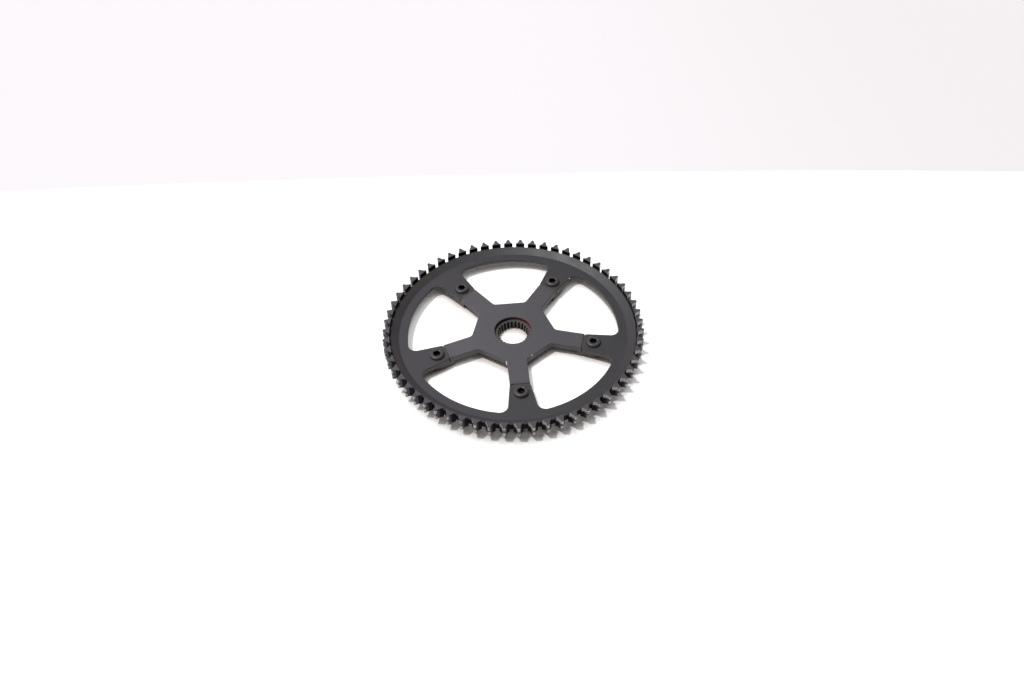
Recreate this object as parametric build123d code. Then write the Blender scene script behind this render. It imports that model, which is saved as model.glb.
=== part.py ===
from build123d import *
import math
import os

# Belt drive sprocket lying on its inner side: a toothed ring bolted to a five-arm splined spider.
# Millimetres, +Z up, origin on the axis at the underside of the spider's hub. One arm points along -Y.

# Belt teeth, seen along the axis
tooth_count = 60
belt_pitch = 11.0
pitch_line_height = 1.04  # from the tooth tips out to the belt's pitch line
tooth_tip_width = 1.1
tooth_shoulder_width = 2.2
tooth_mid_width = 3.8
tooth_base_width = 7.4
tooth_shoulder_depth = 0.6  # below the tips
tooth_mid_depth = 3.0  # below the tips
tooth_base_depth = 5.0  # below the tips
slot_depth = 6.1  # from the tips to the floor of the mud slots between the teeth

# Teeth and rim, along the axis
tooth_width = 10.0
tooth_overhang = 3.0  # how far a tooth stands above the rim
rim_thickness = 5.4

# Ring, measured inwards from the tooth tips
tooth_wall_inset = 5.5  # to the inner wall of the teeth
band_width = 7.1  # conical band that rises to the rim
band_rise = 3.3
land_width = 6.9  # flat between the band and the windows
web_thickness = 2.6
window_fillet = 6.5
window_bevel = 0.4

# Bolted lap between the ring's tabs and the spider's pads
arm_count = 5
bolt_circle = 130.0
tab_end_width = 16.0
tab_root_width = 24.1
tab_thickness = 4.0
tab_reach = 8.1  # from the bolt circle in to the tab's end
tab_corner = 2.2
tab_run_out = 1.5  # from the windows' radius in to where the thick tabs end
pad_width = 17.0
pad_thickness = 4.0
pad_rise = 1.5  # pad underside above the hub's
pad_shoulder = 3.2  # full-height block between an arm and its pad
lap_clearance = 0.15

# Spider
arm_width = 15.4
arm_thickness = 4.8
step_height = 0.5  # arm top above the ring's flat
hub_flat = 30.9  # axis to the flats between the arms
hub_fillet = 4.0
boss_diameter = 46.0  # thicker middle of the hub
spider_bevel = 0.4

# Splined bore
spline_count = 24
spline_minor = 23.0
spline_major = 25.2
spline_groove_mouth = 1.8
spline_groove_root = 1.3
spline_lead_in = 0.8
counterbore_diameter = 29.5
counterbore_depth = 3.0

# Bolts and sleeve nuts
head_diameter = 11.8
head_height = 2.2
head_bevel = 1.5
socket_flats = 5.0
socket_depth = 3.6
shank_diameter = 8.0
shank_length = 6.5
sleeve_diameter = 10.0
sleeve_gap = 0.4  # sleeve's end to the tab's top, so that the head clamps the tab
nut_flange_diameter = 12.4
nut_flange_thickness = 1.3
nut_slot_width = 2.4
nut_slot_depth = 0.7
hole_clearance = 0.1
thread_clearance = 0.05

# Radii and heights that follow
belt_radius = tooth_count * belt_pitch / (2 * math.pi)
tip_radius = belt_radius - pitch_line_height
tooth_wall_radius = tip_radius - tooth_wall_inset
band_inner_radius = tooth_wall_radius - band_width
window_radius = band_inner_radius - land_width
bolt_radius = bolt_circle / 2
tab_end_radius = bolt_radius - tab_reach
tab_root_radius = window_radius - tab_run_out
lap_height = pad_rise + pad_thickness
ring_top = lap_height + tab_thickness
ring_bottom = ring_top - web_thickness
rim_top = ring_top + band_rise
tooth_top = rim_top + tooth_overhang
tooth_bottom = tooth_top - tooth_width
rim_bottom = rim_top - rim_thickness
spider_top = ring_top + step_height
arm_bottom = spider_top - arm_thickness
counterbore_floor = spider_top - counterbore_depth
hole_radius = sleeve_diameter / 2 + hole_clearance
UPWARDS = (Align.CENTER, Align.CENTER, Align.MIN)


def at_arms(shape):
    """Copies of a shape modelled along +X, one along each arm; the first arm points along -Y."""
    return [Rot(Z=360 / arm_count * i - 90) * shape for i in range(arm_count)]


def at_bolts(shape):
    """Copies of a shape modelled on the axis, one at each bolt."""
    return at_arms(Pos(X=bolt_radius) * shape)


def radius_of(vertex):
    return math.hypot(vertex.X, vertex.Y)


def turned(*points):
    """Solid of revolution about the axis from the (radius, height) points of its section."""
    return revolve(Plane.XZ * make_face(Polyline(*points, close=True)), Axis.Z)


def flared(start, start_width, end, end_width):
    """Plan of a strip along +X whose width changes evenly from start to end."""
    return make_face(
        Polyline(
            (start, -start_width / 2),
            (end, -end_width / 2),
            (end, end_width / 2),
            (start, start_width / 2),
            close=True,
        )
    )


def tooth_gap():
    """Plan of the gap between two teeth along +X: hollow flanks for the belt's round teeth over a mud slot."""
    def corner(depth, width):
        radius = tip_radius - depth
        angle = math.asin(width / 2 / radius) - math.pi / tooth_count
        return radius * math.cos(angle), radius * math.sin(angle)

    tip = corner(0, tooth_tip_width)
    shoulder = corner(tooth_shoulder_depth, tooth_shoulder_width)
    mid = corner(tooth_mid_depth, tooth_mid_width)
    base = corner(tooth_base_depth, tooth_base_width)
    slot_radius = tip_radius - slot_depth
    slot_corner = Vector(base) * (slot_radius / (tip_radius - tooth_base_depth))
    half = [Line(tip, shoulder), ThreePointArc(shoulder, mid, base), Line(base, slot_corner)]
    other_half = [mirror(edge, Plane.XZ) for edge in half]
    slot_floor = ThreePointArc(slot_corner, (slot_radius, 0), (slot_corner.X, -slot_corner.Y))
    mouth = ThreePointArc(tip, (belt_radius, 0), (tip[0], -tip[1]))
    return make_face(half + [slot_floor] + other_half + [mouth])


def window_void():
    """Plan of the opening inside the ring, between its five flared tabs."""
    flare = (tab_root_width - tab_end_width) / (window_radius - tab_end_radius)
    past_window = window_radius + window_fillet
    past_width = tab_root_width + flare * window_fillet
    void = Circle(window_radius) - at_arms(flared(tab_end_radius, tab_end_width, past_window, past_width))
    void = fillet([v for v in void.vertices() if radius_of(v) > bolt_radius], window_fillet)
    tab_end = math.hypot(tab_end_radius, tab_end_width / 2)
    return fillet([v for v in void.vertices() if radius_of(v) < tab_end + lap_clearance], tab_corner)


def sprocket_ring():
    """Dished ring: a turned section cut to the plan of its teeth, windows and tabs."""
    blank = turned(
        (0, lap_height),
        (tab_root_radius, lap_height),
        (tab_root_radius, ring_bottom),
        (band_inner_radius, ring_bottom),
        (tooth_wall_radius, rim_bottom),
        (tooth_wall_radius, tooth_bottom),
        (belt_radius, tooth_bottom),
        (belt_radius, tooth_top),
        (tooth_wall_radius, tooth_top),
        (tooth_wall_radius, rim_top),
        (band_inner_radius, ring_top),
        (0, ring_top),
    )
    plan = Circle(tip_radius) - [Rot(Z=360 / tooth_count * i) * tooth_gap() for i in range(tooth_count)]
    plan -= window_void()
    plan -= at_bolts(Circle(hole_radius))
    ring = blank & extrude(plan, tooth_top)
    flat = ring.faces().filter_by(Plane.XY).filter_by_position(Axis.Z, ring_top, ring_top)[0]
    window_edges = max(flat.inner_wires(), key=lambda wire: wire.length).edges()
    return chamfer(window_edges, window_bevel)


def spline_groove():
    """Plan of one groove of the splined bore, a strip along +X that narrows outwards."""
    narrowing = (spline_groove_mouth - spline_groove_root) / (spline_major - spline_minor)
    start = spline_minor / 4
    start_width = spline_groove_mouth + narrowing * (spline_minor - 2 * start)
    return flared(start, start_width, spline_major / 2, spline_groove_root)


def spider():
    """Five arms on a hub with flats between them; each arm steps down to a pad under the ring's tab."""
    shoulder_end = tab_end_radius - lap_clearance
    hub = RegularPolygon(hub_flat, arm_count, major_radius=False, rotation=-90)
    star = hub + at_arms(flared(0, arm_width, shoulder_end, arm_width))
    star = fillet([v for v in star.vertices() if radius_of(v) < shoulder_end], hub_fillet)
    body = Pos(Z=arm_bottom) * extrude(star, arm_thickness)
    body = chamfer(body.faces().sort_by(Axis.Z)[-1].outer_wire().edges(), spider_bevel)

    shoulder = flared(shoulder_end - pad_shoulder, arm_width, shoulder_end, arm_width)
    neck = flared(shoulder_end, arm_width, bolt_radius, pad_width)
    pad = shoulder + neck + Pos(X=bolt_radius) * Circle(pad_width / 2)
    body += at_arms(Pos(Z=pad_rise) * extrude(pad, pad_thickness))
    body += Cylinder(boss_diameter / 2, arm_bottom, align=UPWARDS)
    body -= at_bolts(Cylinder(hole_radius, lap_height, align=UPWARDS))

    spline = Circle(spline_minor / 2)
    spline += [Rot(Z=360 / spline_count * i) * spline_groove() for i in range(spline_count)]
    body -= extrude(spline, spider_top)
    return body - turned(
        (0, spider_top),
        (counterbore_diameter / 2 + spider_bevel, spider_top),
        (counterbore_diameter / 2, spider_top - spider_bevel),
        (counterbore_diameter / 2, counterbore_floor),
        (spline_minor / 2 + spline_lead_in, counterbore_floor),
        (spline_minor / 2, counterbore_floor - spline_lead_in),
        (0, counterbore_floor - spline_lead_in),
    )


def chainring_bolt():
    """Bolt on the axis: bevelled round head with a hexagon socket, and a shank."""
    shank_end = ring_top - shank_length
    head_top = ring_top + head_height
    bolt = turned(
        (0, shank_end),
        (shank_diameter / 2, shank_end),
        (shank_diameter / 2, ring_top),
        (head_diameter / 2, ring_top),
        (head_diameter / 2, head_top - head_bevel),
        (head_diameter / 2 - head_bevel, head_top),
        (0, head_top),
    )
    hexagon = RegularPolygon(socket_flats / 2, 6, major_radius=False)
    return bolt - Pos(Z=head_top - socket_depth) * extrude(hexagon, socket_depth)


def sleeve_nut():
    """Sleeve nut on the axis: a slotted flange below, and a sleeve up through pad and tab."""
    bore_radius = shank_diameter / 2 + thread_clearance
    flange_bottom = pad_rise - nut_flange_thickness
    sleeve_top = ring_top - sleeve_gap
    nut = turned(
        (bore_radius, flange_bottom),
        (nut_flange_diameter / 2, flange_bottom),
        (nut_flange_diameter / 2, pad_rise),
        (sleeve_diameter / 2, pad_rise),
        (sleeve_diameter / 2, sleeve_top),
        (bore_radius, sleeve_top),
    )
    slot = Box(2 * nut_flange_diameter, nut_slot_width, nut_slot_depth, align=UPWARDS)
    return nut - Pos(Z=flange_bottom) * slot


os.makedirs("parts", exist_ok=True)
nodes = {
    "sprocket_ring": sprocket_ring(),
    "spider": spider(),
    "chainring_bolts": Compound(children=at_bolts(chainring_bolt())),
    "sleeve_nuts": Compound(children=at_bolts(sleeve_nut())),
}
for name, shape in nodes.items():
    export_step(shape, f"parts/{name}.step")
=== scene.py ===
import math
import bpy
import numpy as np
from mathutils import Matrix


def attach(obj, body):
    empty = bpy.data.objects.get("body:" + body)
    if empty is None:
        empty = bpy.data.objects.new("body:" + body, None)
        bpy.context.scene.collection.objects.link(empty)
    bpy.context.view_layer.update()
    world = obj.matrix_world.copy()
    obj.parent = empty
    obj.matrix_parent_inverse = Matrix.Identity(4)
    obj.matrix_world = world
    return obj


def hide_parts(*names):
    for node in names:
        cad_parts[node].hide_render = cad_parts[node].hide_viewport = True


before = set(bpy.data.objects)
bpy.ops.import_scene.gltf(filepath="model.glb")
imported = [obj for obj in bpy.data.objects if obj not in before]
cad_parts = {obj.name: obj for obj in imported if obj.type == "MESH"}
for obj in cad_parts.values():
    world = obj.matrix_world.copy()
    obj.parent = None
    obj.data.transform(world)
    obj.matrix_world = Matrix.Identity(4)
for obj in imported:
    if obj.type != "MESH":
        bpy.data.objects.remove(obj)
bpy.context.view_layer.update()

MM = 0.001

# Sizes of the sprocket that its finishes and added pieces follow, in millimetres
ARM_COUNT = 5
BOLT_RADIUS = 65.0
TIP_RADIUS = 104.0
TOOTH_WALL_RADIUS = 98.5
TOOTH_TOP = 15.8
TOOTH_MIDDLE = 10.8
BAND_INNER_RADIUS = 91.4
RING_TOP = 9.5
TAB_END_RADIUS = 56.9
SPIDER_TOP = 10.0
COUNTERBORE_RADIUS = 14.75
SPLINE_RADIUS = 11.5

# Bolts, in millimetres
HEAD_RADIUS = 5.9
HEAD_HEIGHT = 2.2
HEAD_TOP = RING_TOP + HEAD_HEIGHT
HEAD_SIDE = 0.9
HEAD_LAND_RADIUS = 4.4
SOCKET_MOUTH_RADIUS = 3.15
SOCKET_BEVEL = 0.4
SOCKET_FLATS = 5.0
SOCKET_DEPTH = 3.2
SOCKET_DRILL_POINT = 0.4
SHANK_RADIUS = 4.0
SHANK_END = 3.0
SHANK_BEVEL = 0.5
DOME_STEPS = 9
BOLT_SIDES = 72  # a multiple of six, so that the hexagon's corners are met

# Threads of the sleeve nuts, in millimetres, with the ridge's half widths as shares of the pitch
NUT_BORE_RADIUS = 4.05
THREAD_PITCH = 0.8
THREAD_DEPTH = 0.3
THREAD_SUNK = 0.06
THREAD_ROOT = 0.36
THREAD_CREST = 0.06
THREAD_START = 0.65
THREAD_TURNS = 2.4
THREAD_RUN_OUT = 0.2  # turns over which the ridge runs out
THREAD_LEAST = 0.03  # share of the depth left at the ends
THREAD_STEPS = 180

# Dust in the seams at the tabs' ends, in millimetres
SEAM_HALF_WIDTH = 6.6
SEAM_GAP = 0.15
SEAM_DIP = 0.04
SEAM_RIPPLE = 0.02
SEAM_LONG_WAVE = 2.3  # radians in a millimetre
SEAM_SHORT_WAVE = 5.1
SEAM_SHORT_START = 1.0
SEAM_END_SINK = 0.25
SEAM_END_POWER = 8
SEAM_STEPS = 41
SEAM_OUT = (-0.05, 0.20, 0.53, -0.05)  # profile's corners, outwards from the arm's end
SEAM_UP = (-0.45, -0.45, 0.0, 0.08)  # the same corners, up from the ring's top
SEAM_SINKS = (0.0, 0.0, 1.0, 1.0)  # the corners that the dips lower

# Edges: the angle in degrees above which added pieces have a sharp one, and how rubbed ones are found
SHARP_EDGE = 32.0
BEVEL_SAMPLES = 6
RUBBED_FROM = 0.02

# Colours of the ring, all colours as linear red, green and blue
RING_BLACK = (0.030, 0.0285, 0.034)
# Painted light: the ring's colour lightens towards the left.
RING_PAINTED_LIT = (0.040, 0.038, 0.047)
RING_BLOOM = (0.2, 0.19, 0.22)
TOPS_BLACK = (0.064, 0.060, 0.071)
# Painted light: the tooth tops lighten towards the back left.
TOPS_PAINTED_LIT = (0.083, 0.078, 0.103)
RING_DUST = (0.060, 0.048, 0.038)
RING_RUBBED = (0.17, 0.168, 0.175)
BARE_DULL = (0.36, 0.345, 0.34)
BARE_BRIGHT = (0.70, 0.68, 0.675)
# Painted shade, near black, in the teeth's roots and along the band's seam.
ROOT_PAINTED_SHADE = (0.008, 0.006, 0.007)

# Colours of the spider
SPIDER_GREY = (0.069, 0.066, 0.078)
# Painted light: the spider's colour lightens towards the left.
SPIDER_PAINTED_LIT = (0.095, 0.091, 0.109)
SPIDER_BLOOM = (0.2, 0.2, 0.22)
SPIDER_DUST = (0.064, 0.056, 0.046)
SPIDER_LEDGE = (0.075, 0.068, 0.065)
SPIDER_RUBBED = (0.20, 0.195, 0.205)
RUST_SMUDGE = (0.125, 0.052, 0.046)
# Painted shade: the rust on the counterbore's left side is darker.
RUST_PAINTED_SHADE = (0.014, 0.009, 0.008)
RUST_RED = (0.105, 0.030, 0.020)
# Bare metal of the nicks, and of the painted glint beside the front arm.
NICK_AND_GLINT_BARE = (0.80, 0.78, 0.78)
# Near black in the spline's grooves.
SPLINE_GROOVE_BLACK = (0.008, 0.007, 0.009)

# Colours of the fasteners and of the dust
OXIDE_DARK = (0.042, 0.040, 0.042)
OXIDE_PALE = (0.060, 0.058, 0.058)
OXIDE_RUBBED = (0.2, 0.19, 0.18)
# Near black inside the bolts' sockets.
SOCKET_BLACK = (0.006, 0.005, 0.005)
DUST_DARK = (0.040, 0.036, 0.034)
DUST_PALE = (0.078, 0.069, 0.060)
BLACK = (0.0, 0.0, 0.0)
WHITE = (1.0, 1.0, 1.0)

# Small marks: a painted glint running upright beside the front arm, and nicks on the hub and the ring
PAINTED_GLINT = (-8.25, -32.75)
PAINTED_GLINT_REACH = 1.1
HUB_NICK = (12.5, -29.2, SPIDER_TOP)
HUB_NICK_REACH = 1.5
RING_NICK = (53.3, 55.4, RING_TOP)
RING_NICK_REACH = 0.9
MARK_CORE = 0.4  # share of a mark's reach that is fully marked

# Floor and backdrop, in metres, with the floor's back edge as a curve in x
STAGE_REACH = 3.0
STAGE_COLUMNS = 121
STAGE_ROWS = 9
EDGE_MIDDLE = 0.2215
EDGE_SLOPE = -0.083
EDGE_CURVE = -0.05
EDGE_BEND_REACH = 0.8
FLOOR_WHITE = (0.93, 0.93, 0.93)
FLOOR_SHADE_INSIDE = (0.72, 0.65, 0.615)
FLOOR_SHADE_OUTSIDE = (0.56, 0.518, 0.50)
FLOOR_GLOW = 0.40
FLOOR_GLOW_SHADE = (1.0, 0.88, 0.85)
SHADE_REACH = 0.016
SHADE_SAMPLES = 8
SHADE_SIDE_INSIDE = (0.2, 0.6, 0.775)
SHADE_SIDE_OUTSIDE = (0.0, 0.85, 0.527)
BACKDROP_LEFT = (0.985, 0.945, 0.975)
BACKDROP_RIGHT = (0.915, 0.882, 0.893)
BACKDROP_PAPER = (0.9, 0.88, 0.89)

# Lamp and dome
KEY_STRENGTH = 1.85
KEY_SPREAD = 5.0  # degrees across
TO_KEY_LAMP = (-0.34, 0.06, 1.0)
TO_DOME_PEAK = (-0.45, 0.35, 0.82)
DOME_PEAK = 1.2
DOME_FALL = 3.0
DOME_LEAST = 0.06
DOME_COLOUR = (1.0, 0.968, 0.95)
HORIZON_WHITE = 0.04
HORIZON_END = 0.2

# Camera, in metres, degrees and millimetres
CAMERA_PLACE = (-0.03871, -0.50233, 0.53474)
CAMERA_TURN = (43.0968, 0.9946, -5.3454)
CAMERA_LENS = 31.869
CAMERA_SENSOR = 36.0


class Nodes:
    """Short names for the shader nodes that the finishes and the lights are put together from."""

    def __init__(self, tree):
        self.nodes = tree.nodes
        self.links = tree.links
        self.nodes.clear()

    def new(self, kind, **entries):
        """A node of a kind, with its named sockets fed."""
        node = self.nodes.new("ShaderNode" + kind)
        for name, value in entries.items():
            self.feed(node.inputs[name.replace("_", " ")], value)
        return node

    def feed(self, socket, value):
        """Links an output to a socket, or sets the socket's own value."""
        if isinstance(value, bpy.types.NodeSocket):
            self.links.new(value, socket)
        elif isinstance(value, tuple) and socket.type == "RGBA":
            socket.default_value = (*value, 1.0)
        else:
            socket.default_value = value

    def math(self, operation, *values, clamp=False):
        node = self.nodes.new("ShaderNodeMath")
        node.operation = operation
        node.use_clamp = clamp
        for socket, value in zip(node.inputs, values):
            self.feed(socket, value)
        return node.outputs[0]

    def product(self, *values):
        result = values[0]
        for value in values[1:]:
            result = self.math("MULTIPLY", result, value)
        return result

    def total(self, *values):
        result = values[0]
        for value in values[1:]:
            result = self.math("ADD", result, value)
        return result

    def either(self, *values):
        """The largest of several shares."""
        result = values[0]
        for value in values[1:]:
            result = self.math("MAXIMUM", result, value)
        return result

    def remainder(self, share):
        """What a share leaves of one."""
        return self.math("SUBTRACT", 1.0, share)

    def hypot(self, first, second):
        """Length of the vector with these two components."""
        return self.math("SQRT", self.total(self.product(first, first), self.product(second, second)))

    def vector(self, operation, *values):
        node = self.nodes.new("ShaderNodeVectorMath")
        node.operation = operation
        for socket, value in zip(node.inputs, values):
            self.feed(socket, value)
        return node.outputs["Value" if operation in ("DOT_PRODUCT", "DISTANCE") else "Vector"]

    def parts(self, vector):
        return self.new("SeparateXYZ", Vector=vector).outputs

    def joined(self, x, y, z):
        return self.new("CombineXYZ", X=x, Y=y, Z=z).outputs[0]

    def ramp(self, value, low, high, start=0.0, end=1.0):
        """Goes smoothly from start to end as the value goes from low to high."""
        node = self.new("MapRange", Value=value, From_Min=low, From_Max=high, To_Min=start, To_Max=end)
        node.interpolation_type = "SMOOTHSTEP"
        return node.outputs["Result"]

    def between(self, value, low, high, soft):
        """One from low to high, fading to nought over the soft width outside them."""
        return self.product(self.ramp(value, low - soft, low), self.ramp(value, high + soft, high))

    def mix(self, share, first, second):
        """Colour that goes from the first to the second with the share."""
        node = self.nodes.new("ShaderNodeMix")
        node.data_type = "RGBA"
        sockets = (node.inputs["Factor"], node.inputs[6], node.inputs[7])
        for socket, value in zip(sockets, (share, first, second)):
            self.feed(socket, value)
        return node.outputs[2]


class Finish(Nodes):
    """A procedural material on the piece's own coordinates, which are read in millimetres."""

    def __init__(self, name):
        self.material = bpy.data.materials.new(name)
        self.material.use_nodes = True
        super().__init__(self.material.node_tree)
        self.output = self.new("OutputMaterial")
        scale = self.nodes.new("ShaderNodeVectorMath")
        scale.operation = "SCALE"
        self.feed(scale.inputs[0], self.new("TexCoord").outputs["Object"])
        scale.inputs["Scale"].default_value = 1.0 / MM
        self.place = scale.outputs[0]
        self.x, self.y, self.z = self.parts(self.place)
        self.facing = self.new("NewGeometry").outputs["True Normal"]
        self.nx, self.ny, self.nz = self.parts(self.facing)
        self.radius = self.hypot(self.x, self.y)

    def wall(self):
        """One on upright faces."""
        return self.ramp(self.math("ABSOLUTE", self.nz), 0.6, 0.3)

    def top(self):
        """One on faces that look up."""
        return self.ramp(self.nz, 0.5, 0.8)

    def angle(self):
        """Angle round the axis from +X, in radians."""
        return self.math("ARCTAN2", self.y, self.x)

    def outward(self):
        """One on walls that face away from the axis, minus one on those that face it."""
        out = self.total(self.product(self.x, self.nx), self.product(self.y, self.ny))
        return self.math("DIVIDE", out, self.radius)

    def clockwise(self):
        """One on walls that face the clockwise way round the axis, seen from above."""
        turn = self.math("SUBTRACT", self.product(self.y, self.nx), self.product(self.x, self.ny))
        return self.math("DIVIDE", turn, self.radius)

    def bolt_distance(self):
        """Distance from the nearest bolt's axis, in millimetres."""
        share = 2 * math.pi / ARM_COUNT
        turn = self.total(self.angle(), math.pi / 2 + 2 * math.pi + share / 2)
        turn = self.math("SUBTRACT", self.math("MODULO", turn, share), share / 2)
        along = self.math("SUBTRACT", self.product(self.radius, self.math("COSINE", turn)), BOLT_RADIUS)
        across = self.product(self.radius, self.math("SINE", turn))
        return self.hypot(along, across)

    def noise(self, size, detail, roughness, vector=None):
        """Cloudy noise whose spots are about the given size in millimetres."""
        place = vector or self.place
        node = self.new("TexNoise", Vector=place, Scale=1.0 / size, Detail=detail, Roughness=roughness)
        return node.outputs["Fac"]

    def rounded(self, radius):
        """Normal of the surface with its edges rounded off."""
        node = self.new("Bevel", Radius=radius * MM)
        node.samples = BEVEL_SAMPLES
        return node.outputs[0]

    def edge(self, normal, full):
        """One along the edges that the rounded normal turns away at, nought on the flats."""
        turned_away = self.remainder(self.vector("DOT_PRODUCT", normal, self.facing))
        return self.ramp(turned_away, RUBBED_FROM, full)

    def bump(self, height, distance, strength, normal):
        node = self.new("Bump", Distance=distance * MM, Strength=strength, Height=height, Normal=normal)
        return node.outputs[0]

    def near(self, point, reach):
        """One at a point, nought at its reach."""
        return self.ramp(self.vector("DISTANCE", self.place, point), reach, reach * MARK_CORE)

    def near_upright(self, x, y, reach):
        """One at an upright line, nought at its reach."""
        plan = self.joined(self.x, self.y, 0.0)
        return self.ramp(self.vector("DISTANCE", plan, (x, y, 0.0)), reach, reach * MARK_CORE)

    def clouded(self, clouds, colour, darkest, palest, bloom):
        """A colour that the clouds take from a little darker to a little of a pale bloom."""
        return self.mix(clouds, self.mix(darkest, colour, BLACK), self.mix(palest, colour, bloom))

    def show(self, shader):
        """The material, with the shader on its surface."""
        self.links.new(shader.outputs[0], self.output.inputs["Surface"])
        return self.material

    def surface(self, **entries):
        return self.show(self.new("BsdfPrincipled", **entries))


def ring_finish():
    """Black anodised aluminium turned on a lathe: bare metal where the belt rubs the teeth, kept near the top
    of the pulled flanks as a painted highlight; painted shade in the teeth's roots; the colour lightened to
    the left and towards the back left as painted light."""
    f = Finish("ring_anodised")
    soft = f.rounded(0.25)
    lathe = f.joined(f.product(f.radius, 2.6), f.product(f.angle(), 1.5), f.z)
    rings = f.noise(1.0, 2.0, 0.6, lathe)
    clouds = f.noise(16.0, 4.0, 0.6)
    patches = f.noise(2.6, 3.0, 0.6)
    grain = f.noise(0.6, 2.0, 0.5)
    wall, top = f.wall(), f.top()

    # The belt pulls on the flanks that face clockwise, and rubs two tracks on the tips. The flanks' bare
    # metal is kept near their top, where it is also a painted highlight.
    pulled = f.product(wall, f.ramp(f.clockwise(), 0.25, 0.5))
    flank_height = f.ramp(f.total(f.z, f.product(patches, 2.0)), TOOTH_TOP - 3.4, TOOTH_TOP - 1.8)
    flank_reach = f.between(f.radius, TOOTH_WALL_RADIUS + 1.1, TIP_RADIUS - 1.4, 0.8)
    worn_flank_and_highlight = f.product(pulled, flank_reach, flank_height)
    track = f.between(f.math("ABSOLUTE", f.math("SUBTRACT", f.z, TOOTH_MIDDLE)), 1.4, 4.2, 0.6)
    tip_reach = f.ramp(f.radius, TIP_RADIUS - 1.6, TIP_RADIUS - 0.7)
    tips = f.product(wall, tip_reach, track, f.ramp(patches, 0.36, 0.5))
    bare_and_highlight = f.either(f.product(worn_flank_and_highlight, 0.9), f.product(tips, 0.9))

    # Painted shade, near black, in the roots of the teeth, on their inner walls and lower flanks, and a
    # painted shadow along the seam beside the band
    shoulder_reach = f.ramp(f.radius, TIP_RADIUS - 2.4, TIP_RADIUS - 3.4)
    shoulders = f.product(f.ramp(f.outward(), 0.2, 0.45), shoulder_reach)
    low_reach = f.ramp(f.radius, TIP_RADIUS - 1.6, TIP_RADIUS - 2.6)
    low_flanks = f.product(pulled, low_reach, f.ramp(patches, 0.25, 0.6, 0.35, 0.9))
    slots = f.ramp(f.radius, TOOTH_WALL_RADIUS + 1.4, TOOTH_WALL_RADIUS + 0.6)
    from_walls = f.ramp(f.radius, TOOTH_WALL_RADIUS - 2.0, TOOTH_WALL_RADIUS - 1.0)
    roots = f.product(wall, from_walls, f.either(slots, shoulders, low_flanks))
    seam_reach = f.between(f.radius, TOOTH_WALL_RADIUS - 0.5, TOOTH_WALL_RADIUS + 0.1, 0.25)
    below_tops = f.ramp(f.z, TOOTH_TOP - 1.8, TOOTH_TOP - 2.8)
    seam = f.product(top, seam_reach, below_tops, f.ramp(patches, 0.2, 0.5, 0.35, 0.8))
    painted_shade = f.product(f.either(roots, seam), f.remainder(bare_and_highlight))

    # Brown dust along the band's outer edge on the left, on the windows' walls and at the tabs' ends
    leftward = f.ramp(f.math("DIVIDE", f.x, f.radius), -0.1, -0.8)
    band_edge = f.between(f.radius, TOOTH_WALL_RADIUS - 3.5, TOOTH_WALL_RADIUS - 0.9, 1.6)
    edge_dust = f.product(top, leftward, band_edge, f.ramp(clouds, 0.3, 0.6))
    window_dust = f.product(wall, f.ramp(f.radius, BAND_INNER_RADIUS + 0.6, BAND_INNER_RADIUS - 3.4), 0.65)
    tab_ends = f.ramp(f.radius, TAB_END_RADIUS + 6.1, TAB_END_RADIUS + 0.1)
    tab_dust = f.product(tab_ends, f.ramp(patches, 0.3, 0.65), 0.8)
    dust = f.either(f.product(edge_dust, 0.75), window_dust, tab_dust)

    # Colours from the anodised black, lighter to the left and on the tops towards the back left as painted
    # light, up to the bare metal, and painted shade over all
    painted_side_light = f.mix(f.ramp(f.x, 80.0, -80.0), RING_BLACK, RING_PAINTED_LIT)
    black = f.clouded(clouds, painted_side_light, 0.12, 0.05, RING_BLOOM)
    back_left = f.math("SUBTRACT", f.y, f.product(f.x, 0.6))
    tops_with_painted_light = f.mix(f.ramp(back_left, -70.0, 50.0), TOPS_BLACK, TOPS_PAINTED_LIT)
    on_tops = f.product(top, f.ramp(f.z, TOOTH_TOP - 1.3, TOOTH_TOP - 0.3), 0.9)
    dusty = f.mix(dust, f.mix(on_tops, black, tops_with_painted_light), RING_DUST)
    edges = f.product(f.edge(soft, 0.12), f.ramp(clouds, 0.35, 0.7), 0.35)
    rubbed = f.mix(edges, dusty, RING_RUBBED)
    metal = f.mix(f.ramp(grain, 0.3, 0.7), BARE_DULL, BARE_BRIGHT)
    worn_and_highlit = f.mix(f.either(bare_and_highlight, f.near(RING_NICK, RING_NICK_REACH)), rubbed, metal)
    roughness = f.total(f.ramp(clouds, 0.3, 0.7, 0.42, 0.5), f.product(grain, 0.1), f.product(painted_shade, 0.25))
    return f.surface(
        Base_Color=f.mix(painted_shade, worn_and_highlit, ROOT_PAINTED_SHADE),
        Metallic=f.either(f.product(bare_and_highlight, 0.4), f.product(painted_shade, 0.8)),
        Roughness=roughness,
        Normal=f.bump(f.total(rings, f.product(grain, 0.6)), 0.02, 0.35, soft),
        Specular_IOR_Level=0.5,
    )


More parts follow.
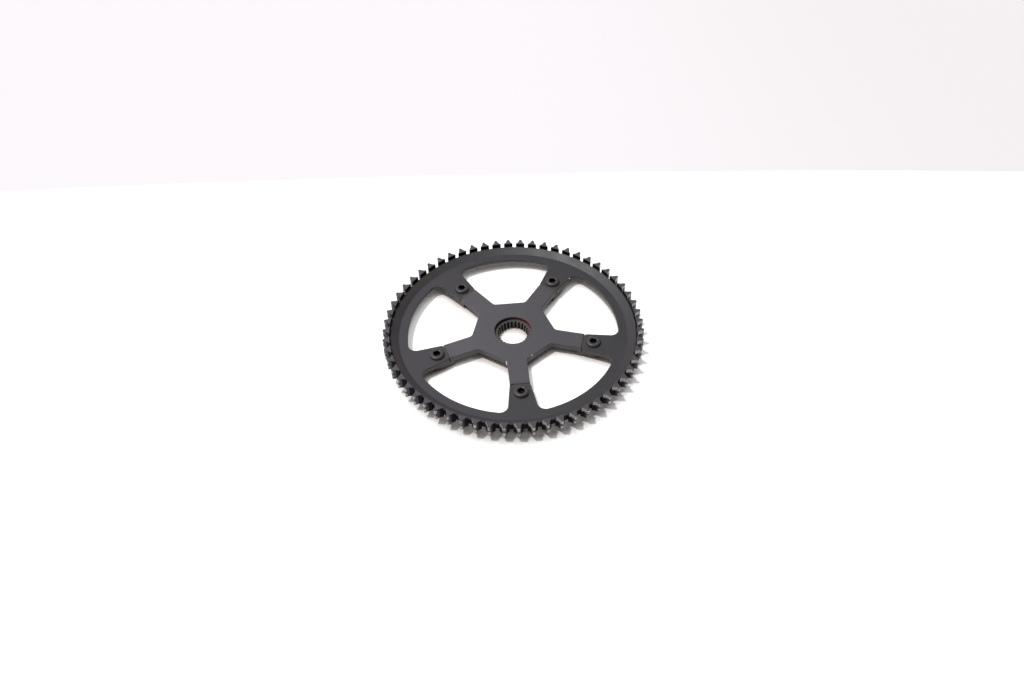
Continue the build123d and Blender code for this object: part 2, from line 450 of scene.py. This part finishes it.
def spider_finish():
    """Dark grey anodised aluminium with a satin face, rusty round the counterbore where a lockring sat,
    lightened to the left as painted light, with painted shade on the rust's left side and a painted glint
    beside the front arm.
    """
    f = Finish("spider_anodised")
    soft = f.rounded(0.3)
    clouds = f.noise(20.0, 4.0, 0.6)
    stains = f.noise(4.0, 4.0, 0.65)
    grain = f.noise(0.55, 2.0, 0.5)
    wall, top = f.wall(), f.top()

    # Rust on the counterbore's wall, with a smudge on the face to its right
    in_bore = f.ramp(f.radius, COUNTERBORE_RADIUS + 1.25, COUNTERBORE_RADIUS + 0.45)
    past_spline = f.ramp(f.radius, COUNTERBORE_RADIUS - 0.75, COUNTERBORE_RADIUS - 0.25)
    rust_wall = f.product(wall, in_bore, past_spline)
    smudge_reach = f.between(f.radius, COUNTERBORE_RADIUS - 0.25, COUNTERBORE_RADIUS + 1.45, 2.0)
    smudge_side = f.between(f.angle(), 0.1, 0.75, 0.35)
    smudge = f.product(top, smudge_reach, smudge_side, f.ramp(stains, 0.3, 0.6), 0.75)

    # Near black in the spline's grooves, brown dust on the side walls and beside the ring's tabs
    grooves = f.product(wall, f.between(f.radius, SPLINE_RADIUS + 0.25, SPLINE_RADIUS + 1.5, 0.2))
    past_bore = f.ramp(f.radius, COUNTERBORE_RADIUS + 1.25, COUNTERBORE_RADIUS + 3.25)
    side_dust = f.product(wall, past_bore, f.ramp(stains, 0.3, 0.7, 0.35, 0.8))
    arm_ends = f.ramp(f.radius, TAB_END_RADIUS - 4.9, TAB_END_RADIUS + 0.1)
    end_dust = f.product(arm_ends, f.ramp(stains, 0.3, 0.65), 0.7)
    ledge = f.product(top, in_bore, f.ramp(f.z, SPIDER_TOP - 1.0, SPIDER_TOP - 2.0))

    # Colours from the anodised grey, lighter to the left as painted light, up to the rust, darker on its left
    # side as painted shade, the nicks and a painted glint, and the grooves' near black over all
    painted_side_light = f.mix(f.ramp(f.x, 40.0, -60.0), SPIDER_GREY, SPIDER_PAINTED_LIT)
    grey = f.clouded(clouds, painted_side_light, 0.13, 0.06, SPIDER_BLOOM)
    dusty = f.mix(f.either(side_dust, end_dust), grey, SPIDER_DUST)
    edges = f.product(f.edge(soft, 0.12), f.ramp(clouds, 0.35, 0.7), 0.35)
    rubbed = f.mix(edges, f.mix(ledge, dusty, SPIDER_LEDGE), SPIDER_RUBBED)
    smudged = f.mix(smudge, rubbed, RUST_SMUDGE)
    # The rust turns darker on the counterbore's left side as painted shade.
    rust_and_painted_shade = f.mix(rust_wall, smudged, f.mix(f.ramp(f.x, -10.0, 4.0), RUST_PAINTED_SHADE, RUST_RED))
    # A painted glint down the fillet beside the front arm.
    painted_glint = f.product(wall, f.near_upright(*PAINTED_GLINT, PAINTED_GLINT_REACH))
    nicks_and_glint = f.either(painted_glint, f.product(f.near(HUB_NICK, HUB_NICK_REACH), 0.35))
    nicked_and_glinting = f.mix(nicks_and_glint, rust_and_painted_shade, NICK_AND_GLINT_BARE)
    return f.surface(
        Base_Color=f.mix(grooves, nicked_and_glinting, SPLINE_GROOVE_BLACK),
        Metallic=f.product(f.either(grooves, f.product(rust_wall, 0.6)), 0.8),
        Roughness=f.total(f.ramp(clouds, 0.3, 0.7, 0.44, 0.52), f.product(grain, 0.08)),
        Normal=f.bump(f.total(grain, f.product(stains, 0.4)), 0.02, 0.3, soft),
        Specular_IOR_Level=0.5,
    )


def fastener_finish(name):
    """Black oxide on steel, rubbed at the edges, near black inside the sockets."""
    f = Finish(name)
    soft = f.rounded(0.2)
    clouds = f.noise(4.0, 3.0, 0.6)
    edges = f.product(f.edge(soft, 0.15), f.ramp(clouds, 0.35, 0.65), 0.45)
    oxide = f.mix(edges, f.mix(clouds, OXIDE_DARK, OXIDE_PALE), OXIDE_RUBBED)
    in_socket = f.ramp(f.bolt_distance(), SOCKET_MOUTH_RADIUS - 0.17, SOCKET_MOUTH_RADIUS - 0.29)
    darker_in_socket = f.product(in_socket, f.ramp(f.z, HEAD_TOP - 0.1, HEAD_TOP - 0.5))
    return f.surface(
        Base_Color=f.mix(darker_in_socket, oxide, SOCKET_BLACK),
        Metallic=f.product(darker_in_socket, 0.8),
        Roughness=f.ramp(clouds, 0.3, 0.7, 0.34, 0.46),
        Normal=f.bump(f.noise(0.4, 2.0, 0.5), 0.01, 0.3, soft),
        Specular_IOR_Level=0.5,
    )


def dust_finish():
    """Grey-brown dust, dull and crumbly."""
    f = Finish("seam_dust")
    crumbs = f.noise(0.7, 4.0, 0.65)
    return f.surface(
        Base_Color=f.mix(f.ramp(crumbs, 0.3, 0.7), DUST_DARK, DUST_PALE),
        Roughness=0.85,
        Normal=f.bump(crumbs, 0.06, 0.5, f.rounded(0.1)),
    )


def at_bolts(points):
    """Copies of an array of points in millimetres, modelled on the axis: moved out to the bolt circle, then
    turned to each arm in one product with the arms' turning matrices. The copies come one after the other."""
    turn = 2 * math.pi * np.arange(ARM_COUNT) / ARM_COUNT - math.pi / 2
    cos, sin, nought, one = np.cos(turn), np.sin(turn), np.zeros(ARM_COUNT), np.ones(ARM_COUNT)
    matrices = np.stack([cos, -sin, nought, sin, cos, nought, nought, nought, one], -1).reshape(-1, 3, 3)
    moved = points + np.array([BOLT_RADIUS, 0.0, 0.0])
    return np.einsum("aij,pj->api", matrices, moved).reshape(-1, 3)


def new_object(name, points, faces, finish):
    """An object from arrays of points, in metres, and faces."""
    mesh = bpy.data.meshes.new(name)
    mesh.from_pydata(points.tolist(), [], faces.tolist())
    mesh.materials.append(finish)
    piece = bpy.data.objects.new(name, mesh)
    bpy.context.scene.collection.objects.link(piece)
    return piece


def added_piece(name, points, faces, finish):
    """A piece at each bolt from one copy's points, in millimetres, and its faces."""
    copies = np.arange(ARM_COUNT)[:, None, None] * len(points)
    every_face = (faces[None] + copies).reshape(-1, faces.shape[1])
    piece = new_object(name, at_bolts(points) * MM, every_face, finish)
    piece.data.polygons.foreach_set("use_smooth", np.ones(len(every_face), bool))
    piece.data.set_sharp_from_angle(angle=math.radians(SHARP_EDGE))
    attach(piece, "root")
    return piece


def swept_faces(steps, turned):
    """Faces of a closed profile of four points carried along a path of some steps, with a cap at each end;
    turned has the faces look the other way."""
    index = np.arange(steps * 4).reshape(-1, 4)
    beside = np.roll(index, -1, axis=1)
    walls = np.stack([index[:-1], beside[:-1], beside[1:], index[1:]], -1).reshape(-1, 4)
    caps = np.stack([index[0][::-1], index[-1]])
    if turned:
        walls, caps = walls[:, [0, 3, 2, 1]], caps[:, ::-1]
    return np.concatenate([walls, caps])


def bolts(finish):
    """Bolts with domed heads and hexagon sockets. The surface is a function of the step along a profile and
    the angle round the bolt: from the shank's end out and up over the head, whose dome is a quarter ellipse,
    then down into the socket. A step's radius is a circle's, or the hexagon's, which is half the flats over
    the cosine of the angle to the nearest flat's middle. The two ends close in a point on the axis."""
    arc = np.linspace(0.0, math.pi / 2, DOME_STEPS)
    dome_radius = HEAD_LAND_RADIUS + (HEAD_RADIUS - HEAD_LAND_RADIUS) * np.cos(arc)
    dome_height = RING_TOP + HEAD_SIDE + (HEAD_HEIGHT - HEAD_SIDE) * np.sin(arc)
    shank = np.array([[SHANK_RADIUS - SHANK_BEVEL, SHANK_END], [SHANK_RADIUS, SHANK_END + SHANK_BEVEL],
                      [SHANK_RADIUS, RING_TOP], [HEAD_RADIUS, RING_TOP]])
    mouth = [[SOCKET_MOUTH_RADIUS, HEAD_TOP]]
    circle = np.concatenate([shank, np.stack([dome_radius, dome_height], -1), mouth])
    hexagon_heights = np.array([HEAD_TOP - SOCKET_BEVEL, HEAD_TOP - SOCKET_DEPTH])

    angle = np.linspace(0.0, 2 * math.pi, BOLT_SIDES, endpoint=False)
    to_flat = angle % (math.pi / 3) - math.pi / 6
    hexagon = SOCKET_FLATS / 2 / np.cos(to_flat)
    rounds = np.broadcast_to(circle[:, :1], (len(circle), angle.size))
    radius = np.concatenate([rounds, np.broadcast_to(hexagon, (2, angle.size))])
    height = np.concatenate([circle[:, 1], hexagon_heights])[:, None] + 0.0 * angle
    grid = np.stack([radius * np.cos(angle), radius * np.sin(angle), height], -1)
    ends = np.array([[0.0, 0.0, SHANK_END], [0.0, 0.0, HEAD_TOP - SOCKET_DEPTH - SOCKET_DRILL_POINT]])
    points = np.concatenate([grid.reshape(-1, 3), ends])

    index = np.arange(radius.size).reshape(radius.shape)
    beside = np.roll(index, -1, axis=1)
    walls = np.stack([index[:-1], beside[:-1], beside[1:], index[1:]], -1).reshape(-1, 4)
    halves = np.concatenate([walls[:, [0, 1, 2]], walls[:, [0, 2, 3]]])
    low_end = np.stack([np.full(angle.size, index.size), beside[0], index[0]], -1)
    high_end = np.stack([np.full(angle.size, index.size + 1), index[-1], beside[-1]], -1)
    faces = np.concatenate([halves, low_end, high_end])
    piece = added_piece("chainring_bolts_domed", points, faces, finish)
    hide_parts("chainring_bolts")


def nut_threads(finish):
    """Threads inside the sleeve nuts below the bolts' ends: a closed ridge profile of four points carried
    along a helix, whose height is the pitch times the turns. The ridge runs out to almost nothing at both
    ends."""
    turns = np.linspace(0.0, THREAD_TURNS, THREAD_STEPS)
    angle = 2 * math.pi * turns
    run_out = np.clip(np.minimum(turns, THREAD_TURNS - turns) / THREAD_RUN_OUT, THREAD_LEAST, 1.0)
    depth = np.array([-THREAD_SUNK, THREAD_DEPTH, THREAD_DEPTH, -THREAD_SUNK])
    rise = np.array([-THREAD_ROOT, -THREAD_CREST, THREAD_CREST, THREAD_ROOT]) * THREAD_PITCH
    radius = NUT_BORE_RADIUS - depth * np.where(depth > 0, run_out[:, None], 1.0)
    height = THREAD_START + THREAD_PITCH * turns[:, None] + rise
    grid = np.stack([radius * np.cos(angle)[:, None], radius * np.sin(angle)[:, None], height], -1)
    faces = swept_faces(turns.size, turned=True)
    added_piece("sleeve_nut_threads", grid.reshape(-1, 3), faces, finish)


def seam_dust(finish):
    """Dust packed into the grooves between the arms and the ring's tabs: a closed profile of four points
    carried straight across the tab's end, its top side dipping in two sine waves and sinking at both ends."""
    across = np.linspace(-SEAM_HALF_WIDTH, SEAM_HALF_WIDTH, SEAM_STEPS)
    waves = np.sin(SEAM_LONG_WAVE * across) + np.sin(SEAM_SHORT_WAVE * across + SEAM_SHORT_START)
    sink = SEAM_END_SINK * (across / SEAM_HALF_WIDTH)**SEAM_END_POWER
    dip = SEAM_DIP + SEAM_RIPPLE * waves + sink
    out = np.array(SEAM_OUT) + TAB_END_RADIUS - SEAM_GAP - BOLT_RADIUS
    height = np.array(SEAM_UP) + RING_TOP - dip[:, None] * np.array(SEAM_SINKS)
    grid = np.stack(np.broadcast_arrays(out, across[:, None], height), -1)
    faces = swept_faces(across.size, turned=False)
    added_piece("seam_dust", grid.reshape(-1, 3), faces, finish)


def lit_for_lens(f):
    """Share of camera, glossy and transmission rays: what they meet shows its own brightness, not the
    lamps'."""
    path = f.new("LightPath").outputs
    seen = f.math("ADD", path["Is Camera Ray"], path["Is Glossy Ray"])
    return f.math("ADD", seen, path["Is Transmission Ray"], clamp=True)


def white_floor():
    """White card whose open parts show as white. Close to the object its glow fades and its tone darkens and
    warms into a painted shade, by how much of it stands within reach towards the back: one test inside the
    ring, another outside it."""
    f = Finish("white_floor")

    def openness_to(direction, low, high):
        occlusion = f.new("AmbientOcclusion", Distance=SHADE_REACH, Normal=f.joined(*direction))
        occlusion.samples = SHADE_SAMPLES
        return f.ramp(occlusion.outputs["AO"], low, high)

    outside = f.ramp(f.radius, TOOTH_WALL_RADIUS - 3.5, TOOTH_WALL_RADIUS + 2.5)
    inner = f.product(openness_to(SHADE_SIDE_INSIDE, 0.38, 0.64), f.remainder(outside))
    outer = f.product(openness_to(SHADE_SIDE_OUTSIDE, 0.57, 0.75), outside)
    openness = f.total(inner, outer)
    tone = f.mix(openness, FLOOR_GLOW_SHADE, WHITE)
    glow = f.new("Emission", Color=tone, Strength=f.product(lit_for_lens(f), openness, FLOOR_GLOW))
    shade = f.mix(outside, FLOOR_SHADE_INSIDE, FLOOR_SHADE_OUTSIDE)
    diffuse = f.new("BsdfDiffuse", Color=f.mix(openness, shade, FLOOR_WHITE))
    both = f.nodes.new("ShaderNodeAddShader")
    f.links.new(diffuse.outputs[0], both.inputs[0])
    f.links.new(glow.outputs[0], both.inputs[1])
    return f.show(both)


def pale_backdrop():
    """Paper behind the floor's edge, faintly pink and a little greyer to the right."""
    f = Finish("pale_backdrop")
    glow = f.new("Emission", Color=f.mix(f.ramp(f.x, 0.0, 550.0), BACKDROP_LEFT, BACKDROP_RIGHT))
    diffuse = f.new("BsdfDiffuse", Color=BACKDROP_PAPER)
    share = f.new("MixShader", Fac=lit_for_lens(f))
    f.links.new(diffuse.outputs[0], share.inputs[1])
    f.links.new(glow.outputs[0], share.inputs[2])
    return f.show(share)


def stage_sheet(name, x, y, finish):
    """Flat sheet on the floor: the grid's own x and y arrays, with a quad between each four neighbours."""
    corner = np.arange(x.size).reshape(x.shape)
    quads = np.stack([corner[:-1, :-1], corner[:-1, 1:], corner[1:, 1:], corner[1:, :-1]], -1).reshape(-1, 4)
    points = np.stack([x, y, np.zeros_like(x)], -1).reshape(-1, 3)
    new_object(name, points, quads, finish)


def studio():
    """White floor up to a gently bent back edge, with the backdrop paper beyond it. The edge's y is a middle
    plus a slope times x plus a curve times x squared, and straight across beyond the bend's reach."""
    across = np.linspace(-STAGE_REACH, STAGE_REACH, STAGE_COLUMNS)
    bend = np.clip(across, -EDGE_BEND_REACH, EDGE_BEND_REACH)
    back_edge = EDGE_MIDDLE + EDGE_SLOPE * bend + EDGE_CURVE * bend**2
    along = np.linspace(0.0, 1.0, STAGE_ROWS)[:, None]
    grid_x = np.broadcast_to(across, (STAGE_ROWS, STAGE_COLUMNS))
    stage_sheet("floor", grid_x, -STAGE_REACH + along * (back_edge + STAGE_REACH), white_floor())
    stage_sheet("backdrop", grid_x, back_edge + along * (STAGE_REACH - back_edge), pale_backdrop())


def lights():
    """A lamp high on the left, and a soft dome that is brightest above and behind on the left, white at the
    horizon."""
    key = bpy.data.lights.new("key_lamp", "SUN")
    key.energy = KEY_STRENGTH
    key.angle = math.radians(KEY_SPREAD)
    lamp = bpy.data.objects.new("key_lamp", key)
    east, north, up = np.array(TO_KEY_LAMP) / np.linalg.norm(TO_KEY_LAMP)
    lamp.rotation_euler = (0.0, math.acos(up), math.atan2(north, east))
    bpy.context.scene.collection.objects.link(lamp)

    world = bpy.data.worlds.new("soft_dome")
    world.use_nodes = True
    bpy.context.scene.world = world
    f = Nodes(world.node_tree)
    direction = f.new("TexCoord").outputs["Generated"]
    towards = f.math("MAXIMUM", f.vector("DOT_PRODUCT", direction, TO_DOME_PEAK), 0.0)
    dome = f.total(f.product(f.math("POWER", towards, DOME_FALL), DOME_PEAK), DOME_LEAST)
    height = f.parts(direction)[2]
    horizon = f.product(f.ramp(height, HORIZON_END, HORIZON_WHITE), lit_for_lens(f))
    level = f.total(f.product(dome, f.remainder(horizon)), horizon)
    background = f.new("Background", Color=DOME_COLOUR, Strength=level)
    f.links.new(background.outputs[0], f.new("OutputWorld").inputs["Surface"])


def viewpoint():
    """Camera where the photograph was taken from."""
    data = bpy.data.cameras.new("camera")
    data.sensor_width = CAMERA_SENSOR
    data.lens = CAMERA_LENS
    camera = bpy.data.objects.new("camera", data)
    camera.location = CAMERA_PLACE
    camera.rotation_euler = [math.radians(a) for a in CAMERA_TURN]
    bpy.context.scene.collection.objects.link(camera)
    bpy.context.scene.camera = camera


bpy.context.scene.view_settings.view_transform = "Standard"
viewpoint()
studio()
lights()
nut_black = fastener_finish("nut_black")
finishes = {"sprocket_ring": ring_finish(), "spider": spider_finish(), "sleeve_nuts": nut_black}
for node, finish in finishes.items():
    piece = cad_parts[node]
    piece.data.materials.clear()
    piece.data.materials.append(finish)
bolts(fastener_finish("bolt_black"))
nut_threads(nut_black)
seam_dust(dust_finish())
